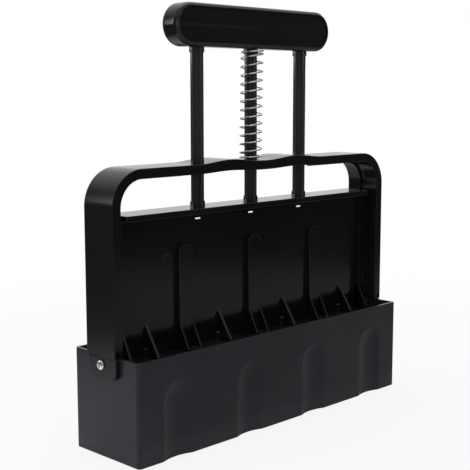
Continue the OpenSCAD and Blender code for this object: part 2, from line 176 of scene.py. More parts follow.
plastics = {
    "mould": {"dark": (0.0125, 0.0125, 0.0162), "light": (0.0165, 0.0165, 0.021), "edge": (0.045, 0.045, 0.052),
              "grainSize": 0.9, "grainDepth": 0.012, "flowSize": 24, "flowDepth": 0.05, "paintedEdgeLight": 0.4,
              "roughness": 0.27, "roughSpread": 0.08, "specular": 0.34},
    "press": {"dark": (0.006, 0.006, 0.0072), "light": (0.008, 0.008, 0.0096), "edge": (0.02, 0.02, 0.023),
              "grainSize": 0.8, "grainDepth": 0.012, "flowSize": 16, "flowDepth": 0.04, "paintedEdgeLight": 0.3,
              "roughness": 0.34, "roughSpread": 0.08, "specular": 0.3},
    "hoop": {"dark": (0.0036, 0.0036, 0.0048), "light": (0.005, 0.005, 0.0066), "edge": (0.02, 0.02, 0.024),
             "grainSize": 0.8, "grainDepth": 0.008, "flowSize": 26, "flowDepth": 0.05, "paintedEdgeLight": 0.3,
             "roughness": 0.19, "roughSpread": 0.06, "specular": 0.34},
    "panel": {"dark": (0.0048, 0.0048, 0.0058), "light": (0.0064, 0.0064, 0.0076), "edge": (0.008, 0.008, 0.0096),
              "grainSize": 0.8, "grainDepth": 0.006, "flowSize": 34, "flowDepth": 0.04, "paintedEdgeLight": 0.2,
              "roughness": 0.14, "roughSpread": 0.04, "specular": 0.34},
    "rod": {"dark": (0.006, 0.006, 0.007), "light": (0.009, 0.009, 0.0105), "edge": (0.045, 0.045, 0.05),
            "grainSize": 0.7, "grainDepth": 0.006, "flowSize": 15, "flowDepth": 0.03, "paintedEdgeLight": 0.5,
            "flowStretch": (1, 1, 0.25), "roughness": 0.15, "roughSpread": 0.05, "specular": 0.6},
    "handle": {"dark": (0.0042, 0.0042, 0.005), "light": (0.0058, 0.0058, 0.0066), "edge": (0.03, 0.03, 0.034),
               "grainSize": 0.8, "grainDepth": 0.005, "flowSize": 18, "flowDepth": 0.04, "paintedEdgeLight": 0.3,
               "roughness": 0.15, "roughSpread": 0.05, "specular": 0.45},
}
finishes = {key: blackPlastic(key + "Plastic", look) for key, look in plastics.items()}
finishes["wire"] = plated("springWire", {
    "dark": (0.62, 0.62, 0.62), "light": (0.82, 0.82, 0.82), "lineSize": 0.3, "stretch": (1, 1, 6),
    "spotSize": 4, "roughness": 0.22, "roughSpread": 0.15, "lineDepth": 0.01})
finishes["screw"] = plated("screwSteel", {
    "dark": (0.7, 0.7, 0.71), "light": (0.88, 0.88, 0.88), "lineSize": 0.25, "stretch": (4, 1, 1),
    "spotSize": 2, "roughness": 0.25, "roughSpread": 0.12, "lineDepth": 0.01})
print("finishes made:", len(finishes))


# shapes, all in millimetres

def addPiece(name, points, faces):
    mesh = bpy.data.meshes.new(name)
    mesh.from_pydata([Vector(p) * mm for p in points], [], faces)
    tidy = bmesh.new()
    tidy.from_mesh(mesh)
    bmesh.ops.recalc_face_normals(tidy, faces=tidy.faces)
    tidy.to_mesh(mesh)
    tidy.free()
    piece = bpy.data.objects.new(name, mesh)
    bpy.context.scene.collection.objects.link(piece)
    return piece


# several (points, faces) lists as one
def together(*parts):
    points, faces = [], []
    for morePoints, moreFaces in parts:
        start = len(points)
        points += morePoints
        faces += [tuple(i + start for i in face) for face in moreFaces]
    return points, faces


def moved(part, shift=(0, 0, 0), flip=(1, 1, 1)):
    points, faces = part
    return [tuple(p[i] * flip[i] + shift[i] for i in range(3)) for p in points], faces


def areaOf(loop):
    return sum(a[0] * b[1] - b[0] * a[1] for a, b in zip(loop, loop[1:] + loop[:1])) / 2


# moves a closed outline inwards by a distance, with mitred corners
def inset(loop, distance, outer=True):
    if (areaOf(loop) > 0) != outer:
        loop = loop[::-1]
    if not distance:
        return loop
    out = []
    count = len(loop)
    for i in range(count):
        before, here, after = loop[i - 1], loop[i], loop[(i + 1) % count]
        a = Vector((here[0] - before[0], here[1] - before[1])).normalized()
        b = Vector((after[0] - here[0], after[1] - here[1])).normalized()
        n = Vector((-a.y - b.y, a.x + b.x))
        length = n.length
        if length < 1e-6:
            n = Vector((-a.y, a.x))
        else:
            n = n / length / max(0.5, length / 2)
        out.append((here[0] + n.x * distance, here[1] + n.y * distance))
    return out


# lofts an outline and its holes through rows of (inset, height), and closes both ends
def loft(loops, rows):
    points, faces = [], []
    for number, loop in enumerate(loops):
        start = len(points)
        for distance, height in rows:
            points += [(u, v, height) for u, v in inset(loop, distance, number == 0)]
        count = len(loop)
        for r in range(len(rows) - 1):
            for i in range(count):
                a, b = start + r * count + i, start + r * count + (i + 1) % count
                faces.append((a, b, b + count, a + count))
    for row in (0, len(rows) - 1):
        rings, ids = [], []
        start = 0
        for loop in loops:
            first = start + row * len(loop)
            rings.append([Vector(points[first + i]) for i in range(len(loop))])
            ids += list(range(first, first + len(loop)))
            start += len(loop) * len(rows)
        faces += [tuple(ids[i] for i in tri) for tri in tessellate_polygon(rings)]
    return points, faces


# rows for a slab with rounded edges
def slabRows(low, high, edgeLow, edgeHigh, steps=3):
    rows = []
    for k in range(steps + 1):
        a = math.pi / 2 * k / steps
        rows.append((edgeLow * (1 - math.sin(a)), low + edgeLow * (1 - math.cos(a))))
    for k in range(steps + 1):
        a = math.pi / 2 * (1 - k / steps)
        rows.append((edgeHigh * (1 - math.sin(a)), high - edgeHigh * (1 - math.cos(a))))
    return rows


def slab(loops, low, high, edge=0.3, edgeHigh=None, steps=3):
    return loft(loops, slabRows(low, high, edge, edge if edgeHigh is None else edgeHigh, steps))


# outline drawn in x and z, thickness along y
def acrossY(part):
    points, faces = part
    return [(u, w, v) for u, v, w in points], faces


# outline drawn in y and z, thickness along x
def alongX(part):
    points, faces = part
    return [(w, u, v) for u, v, w in points], faces


def arc(x, y, radius, start, end, steps=8):
    return [(x + radius * math.cos(math.radians(start + (end - start) * k / steps)),
             y + radius * math.sin(math.radians(start + (end - start) * k / steps))) for k in range(steps + 1)]


def roundedRect(x0, y0, x1, y1, radius, steps=5):
    left, right, low, high = x0 + radius, x1 - radius, y0 + radius, y1 - radius
    return (arc(right, high, radius, 0, 90, steps) + arc(left, high, radius, 90, 180, steps)
            + arc(left, low, radius, 180, 270, steps) + arc(right, low, radius, 270, 360, steps))


# rounds the corners of a plain polygon, each with its own or a common radius
def rounded(corners, radius, steps=4):
    out = []
    count = len(corners)
    for i in range(count):
        p = Vector(corners[i][:2])
        r = corners[i][2] if len(corners[i]) > 2 else radius
        a = (Vector(corners[i - 1][:2]) - p)
        b = (Vector(corners[(i + 1) % count][:2]) - p)
        u, v = a.normalized(), b.normalized()
        half = math.acos(max(-1, min(1, u.dot(v)))) / 2
        if r <= 0 or half > 1.55:
            out.append(tuple(p))
            continue
        cut = min(r / math.tan(half), a.length * 0.48, b.length * 0.48)
        r = cut * math.tan(half)
        centre = p + (u + v).normalized() * (r / math.sin(half))
        first, last = p + u * cut - centre, p + v * cut - centre
        turn = math.atan2(first.x * last.y - first.y * last.x, first.dot(last))
        for k in range(steps + 1):
            t = turn * k / steps
            out.append((centre.x + first.x * math.cos(t) - first.y * math.sin(t),
                        centre.y + first.x * math.sin(t) + first.y * math.cos(t)))
    return out


# turns a profile of (radius, height) round the z axis
def lathe(profile, sides=48):
    points, faces = [], []
    for radius, height in profile:
        points += [(radius * math.cos(2 * math.pi * k / sides), radius * math.sin(2 * math.pi * k / sides), height)
                   for k in range(sides)]
    for r in range(len(profile) - 1):
        for k in range(sides):
            a, b = r * sides + k, r * sides + (k + 1) % sides
            faces.append((a, b, b + sides, a + sides))
    last = (len(profile) - 1) * sides
    faces += [tuple(range(sides)), tuple(range(last, last + sides))]
    return points, faces


def bakeSteps(piece):
    graph = bpy.context.evaluated_depsgraph_get()
    mesh = bpy.data.meshes.new_from_object(piece.evaluated_get(graph))
    piece.modifiers.clear()
    piece.data = mesh


def carve(piece, part, name="cutter"):
    cutter = addPiece(name, *part)
    step = piece.modifiers.new("carve", "BOOLEAN")
    step.operation = "DIFFERENCE"
    step.solver = "EXACT"
    step.object = cutter
    bakeSteps(piece)
    bpy.data.objects.remove(cutter)


# smooth shading in which large flat faces keep their own direction, however they are cut up
def shadeFlats(piece, angle):
    work = bmesh.new()
    work.from_mesh(piece.data)
    region, areas = {}, []
    for seed in work.faces:
        if seed.index in region:
            continue
        region[seed.index], stack, area = len(areas), [seed], 0
        while stack:
            here = stack.pop()
            area += here.calc_area()
            for edge in here.edges:
                for other in edge.link_faces:
                    if other.index not in region and other.normal.dot(seed.normal) > 0.99999:
                        region[other.index] = len(areas)
                        stack.append(other)
        areas.append(area)
    limit, corner = math.cos(math.radians(angle)), {}
    for vert in work.verts:
        left = {face.index: face for face in vert.link_faces}
        while left:
            stack = [left.popitem()[1]]
            fan = list(stack)
            while stack:
                here = stack.pop()
                for edge in here.edges:
                    if vert not in edge.verts:
                        continue
                    for other in edge.link_faces:
                        if other.index in left and other.normal.dot(here.normal) > limit:
                            stack.append(left.pop(other.index))
                            fan.append(other)
            normal = sum((face.normal * areas[region[face.index]] for face in fan), Vector())
            for face in fan:
                corner[face.index, vert.index] = tuple(normal.normalized())
    work.free()
    mesh = piece.data
    for polygon in mesh.polygons:
        polygon.use_smooth = True
    mesh.normals_split_custom_set([corner[polygon.index, v] for polygon in mesh.polygons
                                   for v in polygon.vertices])


def dress(piece, finish, body, nodes, angle=32):
    shadeFlats(piece, angle)
    piece.data.materials.clear()
    piece.data.materials.append(finishes[finish])
    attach(piece, body)
    if nodes:
        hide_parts(*nodes)
    return piece


# mould box

mould = {
    "length": 229.5, "width": 55.5, "height": 58.5, "corner": 2.2, "topEdge": 0.3, "footEdge": 0.5,
    "rim": 1.9, "rimLow": 53.5, "rimEdge": 0.25,
    "fluteWidth": 21.2, "fluteDepth": 2.2, "fluteTop": 44, "fluteSkin": 1.2, "crease": 0.1,
    "cell": 50, "cellCorner": 4, "pitch": 57.5, "skin": 1.8, "divider": 7.5, "wall": 2.75,
    "slitFront": 4.5, "slitBack": 2.3, "slitLow": 2, "nutRadius": 3.32, "nutFace": 113.2, "nutPad": 5.2,
    "rimCorner": 1.1, "padX": 111.2, "pocketFrom": 100, "above": 64, "dividerHalf": 4.2, "dividerTop": 54,
}
cellX = [(i - 1.5) * mould["pitch"] for i in range(4)]
gapX = [(i - 1) * mould["pitch"] for i in range(3)]


# how far the flutes sink the wall at x and z
def fluteAt(x, z, m=mould):
    radius = ((m["fluteWidth"] / 2) ** 2 + m["fluteDepth"] ** 2) / (2 * m["fluteDepth"])
    top = m["fluteTop"] - m["fluteWidth"] / 2
    near = min(cellX, key=lambda c: abs(c - x))
    away = (x - near) ** 2 + max(0, z - top) ** 2
    if away > (m["fluteWidth"] * 0.75) ** 2:
        return 0
    sink = math.sqrt(radius ** 2 - away) - (radius - m["fluteDepth"])
    return max(0, (sink + math.sqrt(sink ** 2 + m["crease"] ** 2)) / 2 - 0.004)


def mouldShell(m=mould):
    halfX, halfY, r = m["length"] / 2, m["width"] / 2, m["corner"]
    xs = [-halfX + r]
    while xs[-1] < halfX - r - 0.01:
        near = min(abs(xs[-1] - c) for c in cellX)
        xs.append(min(halfX - r, xs[-1] + (0.5 if near < 12.5 else 1.5)))
    # a column is its place on the wall and the way out
    columns = [(x, -halfY, 0, -1) for x in xs]
    columns += [(halfX - r + r * math.sin(a), -halfY + r - r * math.cos(a), math.sin(a), -math.cos(a))
                for a in [math.pi / 2 * k / 7 for k in range(1, 7)]]
    columns += [(halfX, y, 1, 0) for y in (-halfY + r, -12, 0, 12, halfY - r)]
    columns += [(halfX - r + r * math.cos(a), halfY - r + r * math.sin(a), math.cos(a), math.sin(a))
                for a in [math.pi / 2 * k / 7 for k in range(1, 7)]]
    columns += [(-x, halfY, 0, 1) for x in xs]
    columns += [(-halfX + r - r * math.sin(a), halfY - r + r * math.cos(a), -math.sin(a), math.cos(a))
                for a in [math.pi / 2 * k / 7 for k in range(1, 7)]]
    columns += [(-halfX, y, -1, 0) for y in (halfY - r, 12, 0, -12, -halfY + r)]
    columns += [(-halfX + r - r * math.cos(a), -halfY + r - r * math.sin(a), -math.cos(a), -math.sin(a))
                for a in [math.pi / 2 * k / 7 for k in range(1, 7)]]
    fine = [m["fluteTop"] - 11.2 + 0.5 * k for k in range(25)]
    rows = [(m["footEdge"] * (1 - math.sin(a)), m["footEdge"] * (1 - math.cos(a)))
            for a in [math.pi / 2 * k / 3 for k in range(4)]]
    rows += [(0, z) for z in [16] + fine + [51]]
    top, edge = m["height"], m["topEdge"]
    rows += [(edge * (1 - math.cos(a)), top - edge + edge * math.sin(a))
             for a in [math.pi / 2 * k / 3 for k in range(4)]]
    points, faces = [], []
    for distance, z in rows:
        for x, y, nx, ny in columns:
            sink = fluteAt(x, z) if abs(ny) == 1 else 0
            points.append((x - nx * distance, y - ny * (distance + sink), z))
    count = len(columns)
    for r in range(len(rows) - 1):
        for i in range(count):
            a, b = r * count + i, r * count + (i + 1) % count
            faces.append((a, b, b + count, a + count))
    last = (len(rows) - 1) * count
    faces += [tuple(range(count)), tuple(range(last, last + count))]
    return points, faces


# opening of one cell, with the flutes' bulge in its long sides
def cellOutline(x, m=mould):
    half, r = m["cell"] / 2, m["cellCorner"]
    steps = [-half + r + (m["cell"] - 2 * r) * k / 48 for k in range(49)]
    bulge = [max(0, fluteAt(x + s, 10) + m["fluteSkin"] - m["wall"]) for s in steps]
    out = arc(x - half + r, -half + r, r, 180, 262, 7) + [(x + s, -half + b) for s, b in zip(steps, bulge)]
    out += arc(x + half - r, -half + r, r, 278, 360, 7) + arc(x + half - r, half - r, r, 0, 82, 7)
    out += [(x + s, half - b) for s, b in zip(steps[::-1], bulge[::-1])]
    out += arc(x - half + r, half - r, r, 98, 180, 7)
    return out


# cell cutter: the flutes' bulge ends below the rim
def cellCutter(x, m=mould):
    points, faces = loft([cellOutline(x)], [(0, z) for z in (-5, 33, 36, 38.5, 40.5, 42, 43, 44, 50, 64)])
    half = m["cell"] / 2
    eased = []
    for u, v, z in points:
        depth = half - abs(v)
        if z > 33 and abs(u - x) < 12 and 0 < depth < 1:
            away = math.hypot(u - x, z - 33.4)
            v = math.copysign(half - min(depth, max(0, 0.65 - away ** 2 / 53 * 1.05)), v)
        eased.append((u, v, z))
    return eased, faces


# room inside the thin rim, over a cell or beside the pad left for a nut
def rimCutter(x0, x1, y0, y1, m=mould):
    edge = m["rimEdge"]
    return loft([roundedRect(x0, y0, x1, y1, m["rimCorner"])],
                [(0, m["rimLow"]), (0, m["height"] - edge), (-edge, m["height"]), (-edge, m["above"])])


mouldBox = addPiece("mouldBox", *mouldShell())
carve(mouldBox, together(*[cellCutter(x) for x in cellX]))
rimY, rimX = mould["width"] / 2 - mould["rim"], mould["length"] / 2 - mould["rim"]
padX, cellHalf = mould["padX"], mould["cell"] / 2
carve(mouldBox, together(*[rimCutter(max(x - cellHalf, -padX), min(x + cellHalf, padX), -rimY, rimY)
                           for x in cellX]))
# both ends, in front of and behind the pad of the nut
carve(mouldBox, together(*[rimCutter(*sorted((side * mould["pocketFrom"], side * rimX)),
                                     *sorted((end * mould["nutPad"], end * (rimY - 0.01))))
                           for side in (-1, 1) for end in (-1, 1)]))
# the dividers' tops lie out of sight under the gussets
dividerHalf, dividerY = mould["dividerHalf"], rimY - 0.01
carve(mouldBox, together(*[loft([roundedRect(x - dividerHalf, -dividerY, x + dividerHalf, dividerY, 0.5)],
                                [(0, mould["dividerTop"]), (0, mould["above"])]) for x in gapX]))
hollow = mould["divider"] / 2 - mould["skin"]
carve(mouldBox, together(*[loft([roundedRect(x - hollow, -25, x + hollow, 25, 0.6)],
                                [(0, mould["skin"]), (0, 58.25), (-0.25, 58.5), (-0.25, 64)]) for x in gapX]))
slitFront, slitBack, slitHalf = -mould["slitFront"], -mould["slitBack"], 7
carve(mouldBox, together(*[loft([[(x - slitHalf, slitFront), (x + slitHalf, slitFront),
                                  (x + slitHalf, slitBack), (x - slitHalf, slitBack)]],
                                [(0, mould["slitLow"]), (0, mould["above"])]) for x in gapX]))


# pocket of a side nut and the hole for its screw, seen from the cell
def nutPocket(m=mould):
    hexagon = [(m["nutRadius"] * math.cos(math.radians(60 * k)), m["nutRadius"] * math.sin(math.radians(60 * k)))
               for k in range(6)]
    return alongX(moved(loft([hexagon], [(0, 109), (0, m["nutFace"])]), (0, 53.7, 0)))


def screwBore():
    return alongX(moved(loft([arc(0, 0, 1.65, 0, 345, 23)], [(0, 112), (0, 117)]), (0, 53.7, 0)))


for hole in (nutPocket(), screwBore()):
    carve(mouldBox, together(hole, moved(hole, flip=(-1, 1, 1))))
dress(mouldBox, "mould", "mould", ["mould_box"], 34)
print("mould box made:", len(mouldBox.data.polygons), "faces")


# hoop handle with its tabs

hoop = {
    "outX": 118, "inX": 112, "foot": 58.55, "top": 160.5, "under": 154.9, "radius": 21, "innerRadius": 15.4,
    "depth": 12.3, "edge": 0.45, "waveHeight": 1.8, "waveUnder": 0.9, "waveX": 29, "waveHalf": 26,
    "ribHeight": 1.5, "ribLow": 0.6, "ribHigh": 2.8, "tabOut": 117.4, "tabBottom": 46,
    "grooveX": 116.75, "grooveLow": 57.75, "grooveHigh": 58.5, "tabCorner": 4.5,
    "screwZ": 53.7, "recess": 3.05,
}


def waveAt(x, high, h=hoop):
    u = (abs(x) - h["waveX"]) / h["waveHalf"]
    return high * (1 + math.cos(math.pi * u)) / 2 if abs(u) < 1 else 0


def hoopOutline(h=hoop):
    xs = [56 - 2 * k for k in range(57)]
    outer = [(-h["outX"], h["foot"])] + [(-h["outX"], 90), (-h["outX"], 120)]
    outer += arc(-h["outX"] + h["radius"], h["top"] - h["radius"], h["radius"], 180, 90, 16)
    outer += [(-x, h["top"] + waveAt(x, h["waveHeight"])) for x in xs]
    outer += arc(h["outX"] - h["radius"], h["top"] - h["radius"], h["radius"], 90, 0, 16)
    outer += [(h["outX"], 120), (h["outX"], 90), (h["outX"], h["foot"])]
    r = h["innerRadius"]
    outer += [(h["inX"], h["foot"]), (h["inX"], 90), (h["inX"], 120)]
    outer += arc(h["inX"] - r, h["under"] - r, r, 0, 90, 14)
    outer += [(x, h["under"] + waveAt(x, h["waveUnder"])) for x in xs]
    outer += arc(-h["inX"] + r, h["under"] - r, r, 90, 180, 14)
    outer += [(-h["inX"], 120), (-h["inX"], 90), (-h["inX"], h["foot"])]
    return outer


# the thin rib that follows one inner side of the hoop
def hoopRib(h=hoop):
    x, z, r, t = h["inX"] + 0.4, h["under"] + 0.4, h["innerRadius"] + 0.4, h["ribHeight"] + 0.4
    out = [(x, h["foot"] + 0.1)] + arc(x - r, z - r, r, 0, 90, 14) + [(56, z), (56, z - t)]
    out += arc(x - r, z - r, r - t, 90, 0, 14) + [(x - t, h["foot"] + 0.1)]
    return acrossY(slab([out], h["ribLow"], h["ribHigh"], 0.4))


def crossOutline(width, thick, corner=0.3, inner=0.4):
    w, t = width / 2, thick / 2
    quarter = [(w, -t, corner), (w, t, corner), (t, t, inner)]
    corners = []
    for k in range(4):
        c, s = [(1, 0), (0, 1), (-1, 0), (0, -1)][k]
        corners += [(x * c - y * s, x * s + y * c, r) for x, y, r in quarter]
    return rounded(corners, 0.3, 3)


def tab(h=hoop):
    y, z0, z1, r = h["depth"], h["tabBottom"], 61.5, h["tabCorner"]
    outline = arc(-y + r, z0 + r, r, 180, 270, 8) + arc(y - r, z0 + r, r, 270, 360, 8) + [(y, z1), (-y, z1)]
    return alongX(slab([outline], 114.8, h["tabOut"], 0.15, 0.45, 4))


hoopBody = slab([hoopOutline()], -hoop["depth"], hoop["depth"], hoop["edge"], None, 4)
hoopPiece = addPiece("hoopHandle", *acrossY(hoopBody))
carve(hoopPiece, together(*[moved(loft([crossOutline(9.6, 2.6)], [(0, 145), (0, 172)]), (x, 0, 0))
                            for x in (-44.7, 0, 44.7)]))
dress(hoopPiece, "hoop", "mould", ["arch_frame"], 30)
ribPiece = addPiece("hoopRibs", *together(hoopRib(), moved(hoopRib(), flip=(-1, 1, 1))))
dress(ribPiece, "hoop", "mould", [], 30)
tabPiece = addPiece("hoopTabs", *together(tab(), moved(tab(), flip=(-1, 1, 1))))
recess = lathe([(hoop["recess"], 0), (hoop["recess"], 5)], 40)
pocket = [(z + 116.6, y, hoop["screwZ"] + x) for x, y, z in recess[0]], recess[1]
carve(tabPiece, together(pocket, moved(pocket, flip=(-1, 1, 1))))
# shallow groove under the foot of each leg
groove = loft([[(hoop["grooveX"], -13), (119, -13), (119, 13), (hoop["grooveX"], 13)]],
              [(0, hoop["grooveLow"]), (0, hoop["grooveHigh"])])
carve(tabPiece, together(groove, moved(groove, flip=(-1, 1, 1))))
dress(tabPiece, "hoop", "mould", [], 30)
print("hoop made")


# plunger panel

panel = {
    "halfX": 106, "web": 1.1, "low": 53, "shelfTop": 135, "shelfThick": 3.5, "shelfHalf": 9.7, "edge": 0.45,
    "slotHalf": 4.15, "ribWall": 1.4, "ribTop": 114.75, "ribFront": 4.1, "ribEdge": 0.7,
    "gusset": 2, "gussetTop": 71.5, "gussetToe": 12.2, "finDrop": 3.5, "finToe": 11.2,
    "endToe": 11, "toeHeight": 1,
    "windowHalf": 2.95, "windowLow": 127.65, "windowHigh": 128.55, "boss": 4, "bossTop": 58,
    "pipX": -69.8, "pipZ": 108.1, "pipRadius": 2,
}
rodX = [-44.7, 0, 44.7]


def arch(x, half, low, top, steps=20):
    return [(x + half, low)] + arc(x, top - half, half, 0, 180, steps) + [(x - half, low)]


def gusset(x0, x1, face, top, toe, p=panel):
    knee = p["low"] + p["toeHeight"]
    outline = rounded([(-toe, p["low"], 0), (-toe, knee, 0.8), (-face, top, 0), (face, top, 0), (toe, knee, 0.8),
                       (toe, p["low"], 0)], 0, 4)
    return alongX(slab([outline], x0, x1, 0.4, 0.4, 3))


def panelParts(p=panel):
    shelfLow = p["shelfTop"] - p["shelfThick"]
    outline = [(-p["halfX"], p["low"])]
    for x in gapX:
        outline += arch(x, p["slotHalf"] + 0.02, p["low"], p["ribTop"] - p["ribWall"])[::-1]
    outline += [(p["halfX"], p["low"]), (p["halfX"], shelfLow + 1), (-p["halfX"], shelfLow + 1)]
    windows = [roundedRect(x - p["windowHalf"], p["windowLow"], x + p["windowHalf"], p["windowHigh"], 0.2, 3)
               for x in rodX]
    parts = [acrossY(slab([outline] + windows, -p["web"], p["web"], 0.15, None, 2))]
    shelf = roundedRect(-p["halfX"], -p["shelfHalf"], p["halfX"], p["shelfHalf"], 1.2, 5)
    parts.append(slab([shelf], shelfLow, p["shelfTop"], p["edge"]))
    wide = p["slotHalf"] + p["ribWall"]
    for x in gapX:
        outer = arch(x, wide, p["low"], p["ribTop"], 32)
        parts.append(acrossY(slab([outer], -p["ribFront"], -p["ribFront"] + p["ribWall"], p["ribEdge"], 0.05, 5)))
        groove = arch(x, p["slotHalf"], p["low"], p["ribTop"] - p["ribWall"], 32)[::-1]
        wall = arch(x, wide - 0.01, p["low"], p["ribTop"] - 0.01, 32)
        parts.append(acrossY(slab([wall + groove], -p["ribFront"] + p["ribWall"] - 0.2, p["web"], 0.02, 0.15, 2)))
        for side in (-1, 1):
            ends = sorted((x + side * p["slotHalf"], x + side * wide))
            parts.append(gusset(*ends, p["ribFront"], p["gussetTop"] - p["finDrop"], p["finToe"]))
    for x in cellX:
        parts.append(gusset(x - p["gusset"] / 2, x + p["gusset"] / 2, p["web"], p["gussetTop"], p["gussetToe"]))
        bossEdge = [(p["boss"], p["low"]), (p["boss"], p["bossTop"] - 0.4), (p["boss"] - 0.4, p["bossTop"])]
        parts.append(moved(lathe(bossEdge, 40), (x, 0, 0)))
    for side in (-1, 1):
        ends = sorted((side * p["halfX"], side * (p["halfX"] - p["gusset"])))
        flange = roundedRect(-p["ribFront"], p["low"], p["ribFront"], shelfLow + 1, 0.3, 2)
        parts.append(alongX(slab([flange], *ends, 0.3, 0.3, 2)))
        parts.append(gusset(*ends, p["ribFront"], p["gussetTop"] - p["finDrop"], p["endToe"]))
    # round mark that the moulding pin left on the front
    r = p["pipRadius"]
    pip = lathe([(r + 0.3, -0.05), (r + 0.1, 0.16), (r - 0.25, 0.2), (r - 0.6, 0.05), (0.4, 0.03)], 40)
    parts.append(([(u + p["pipX"], -p["web"] - w, v + p["pipZ"]) for u, v, w in pip[0]], pip[1]))
    return parts


panelPiece = addPiece("plungerPanel", *together(*panelParts()))
dress(panelPiece, "panel", "plunger", ["plunger_panel"], 30)
print("panel made:", len(panelPiece.data.polygons), "faces")


# press plates and dimple pins

press = {"half": 24.2, "low": 50.5, "high": 53, "corner": 3.2, "pinRadius": 4.5, "pinLength": 7.5}
for number, x in enumerate(cellX, 1):
    h = press["half"]
    plate = addPiece(f"pressPlate{number}", *slab([roundedRect(x - h, -h, x + h, h, press["corner"])],
                                                  press["low"], press["high"], 0.35, 0.2))
    dress(plate, "press", "plunger", [f"press_plate_{number}"])
    r, tip = press["pinRadius"], press["low"] - press["pinLength"]
    profile = [(0.15, tip)] + [(r * math.sin(math.pi / 2 * k / 10), tip + r - r * math.cos(math.pi / 2 * k / 10))
                               for k in range(1, 11)] + [(r, press["low"] - 0.02)]
    pin = addPiece(f"dimplePin{number}", *moved(lathe(profile), (x, 0, 0)))
    dress(pin, "press", "plunger", [f"dimple_pin_{number}"])
print("plates and pins made")


# rods

rods = {"width": 9, "thick": 2.0, "high": 229.2, "collar": 0.4, "collarHeight": 3}
for name, x in zip(("left", "centre", "right"), rodX):
    shaft = slab([crossOutline(rods["width"], rods["thick"])], 135.02, rods["high"], 0.1)
    collars = [slab([crossOutline(rods["width"] + 2 * rods["collar"], rods["thick"] + 2 * rods["collar"])], low,
                    low + rods["collarHeight"], edgeLow, edgeHigh)
               for low, edgeLow, edgeHigh in ((135.03, 0.05, 0.35), (223.85, 0.35, 0.05))]
    rod = addPiece(f"rod_{name}", *moved(together(shaft, *collars), (x, 0, 0)))
    dress(rod, "rod", "plunger", [f"rod_{name}"], 30)
print("rods made")


# T handle

grip = {
    "half": 66.5, "low": 226.9, "high": 251.5, "front": -7, "back": 7, "frontRound": 2.8, "backRound": 3.6,
    "rimInset": 2.4, "coverFront": -6.2, "coverGap": 0.12,
}


def stadium(g=grip, steps=24):
    r = (g["high"] - g["low"]) / 2
    z = (g["high"] + g["low"]) / 2
    return arc(g["half"] - r, z, r, -90, 90, steps) + arc(-g["half"] + r, z, r, 90, 270, steps)


def gripRows(g=grip):
    rows = []
    r = g["backRound"]
    for k in range(9):
        a = math.pi / 2 * k / 8
        rows.append((r * (1 - math.sin(a)), g["back"] - r * (1 - math.cos(a))))
    r = g["frontRound"]
    for k in range(7):
        a = math.radians(62) * k / 6
        rows.append((r * (1 - math.cos(a)), g["front"] + r - r * math.sin(a)))
    # the raised rim's inner lip, down to the ledge under the cover
    rows += [(1.85, g["front"] + 0.06), (2.15, g["front"] + 0.08), (g["rimInset"] - 0.02, g["front"] + 0.25),
             (g["rimInset"], g["front"] + 0.5), (g["rimInset"] + 0.02, -4.3)]
    return rows


body = addPiece("handleBody", *acrossY(loft([stadium()], gripRows())))
dress(body, "handle", "plunger", ["handle_body"], 40)
coverRows = [(grip["rimInset"] + grip["coverGap"] + d, y)
             for d, y in slabRows(grip["coverFront"], -4.35, 0.3, 0.1)]
cover = addPiece("handleCover", *acrossY(loft([stadium()], coverRows)))
dress(cover, "handle", "plunger", ["handle_cover"], 40)
print("handle made")


# return spring

coil = {
    "radius": 6.6, "wire": 1.0, "low": 161.35, "high": 226.05, "openTurns": 12,
    "closedTurns": 1, "closedPitch": 1.3,
    "steps": 36, "sides": 12, "start": 0, "lean": (0.7, -0.7),
}


def springTube(c=coil):
    turns = c["openTurns"] + 2 * c["closedTurns"]
    openPitch = (c["high"] - c["low"] - 2 * c["closedTurns"] * c["closedPitch"]) / c["openTurns"]

    def rise(t):
        first = min(t, c["closedTurns"])
        last = max(0, t - c["closedTurns"] - c["openTurns"])
        return c["low"] + (first + last) * c["closedPitch"] + (t - first - last) * openPitch

    line = []
    for i in range(turns * c["steps"] + 1):
        t = i / c["steps"]
        a = 2 * math.pi * t + c["start"]
        share = t / turns
        line.append(Vector((c["radius"] * math.cos(a) + c["lean"][0] * share,
                            c["radius"] * math.sin(a) + c["lean"][1] * share, rise(t))))
    points, faces = [], []
    sides = c["sides"]
    for i, p in enumerate(line):
        along = (line[min(i + 1, len(line) - 1)] - line[max(i - 1, 0)]).normalized()
        out = Vector((p.x - c["lean"][0] * i / len(line), p.y - c["lean"][1] * i / len(line), 0)).normalized()
        up = along.cross(out).normalized()
        out = up.cross(along)
        for k in range(sides):
            a = 2 * math.pi * k / sides
            points.append(tuple(p + (out * math.cos(a) + up * math.sin(a)) * c["wire"] / 2))
    for i in range(len(line) - 1):
        for k in range(sides):
            a, b = i * sides + k, i * sides + (k + 1) % sides
            faces.append((a, b, b + sides, a + sides))
    last = (len(line) - 1) * sides
    return points, faces + [tuple(range(sides)), tuple(range(last, last + sides))]


spring = addPiece("returnSpring", *springTube())
dress(spring, "wire", "mould", ["return_spring"], 50)
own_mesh(spring)
print("spring made")


# side screws and nuts

sideScrew = {"head": 2.75, "height": 1.8, "seat": 117.42, "cross": 1.5, "slot": 0.36, "deep": 1.1, "edge": 0.85}


def screwHead(s=sideScrew):
    profile = [(1.45, -5.9), (1.45, -0.02), (s["head"] - 0.15, -0.01), (s["head"], 0.15), (s["head"], s["edge"])]
    for k in range(1, 9):
        a = math.pi / 2 * k / 8.6
        profile.append((s["head"] * math.cos(a) ** 0.8, s["edge"] + (s["height"] - s["edge"]) * math.sin(a)))
    return lathe(profile, 48)


